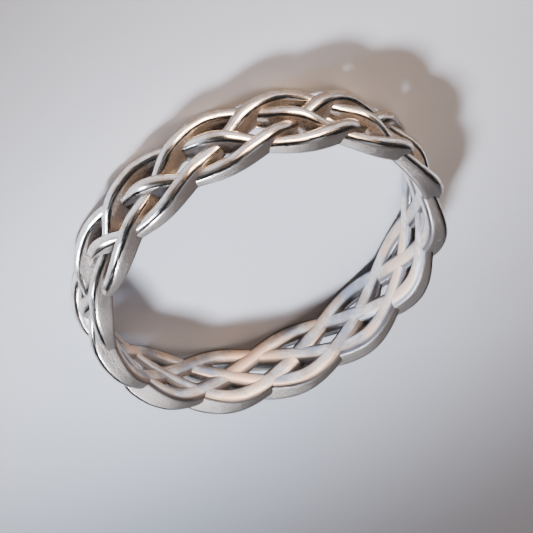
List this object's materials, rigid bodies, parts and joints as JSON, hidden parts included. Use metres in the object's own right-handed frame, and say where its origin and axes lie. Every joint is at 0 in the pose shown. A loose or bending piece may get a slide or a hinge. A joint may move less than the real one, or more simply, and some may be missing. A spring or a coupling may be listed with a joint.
{
  "type": "braided band ring",
  "caption": "Finger ring cast as a closed flat braid: strands weave over and under round a smooth finger hole, pierced between the strands, with scalloped rims.",
  "frame": {"origin": "centre of the finger hole, in the plane of the lower scallop tips that the ring rests on", "axes": "+Z along the finger hole's axis, away from the surface that the ring lies on; +X through the tip of a scallop"},
  "size_m": [0.0202, 0.0202, 0.0041],
  "materials": {
    "silver": "cast sterling silver: polished crowns, satin side walls and finger side, darkened recesses"
  },
  "bodies": {
    "root": {"braided_band": "silver"}
  },
  "joints": []
}
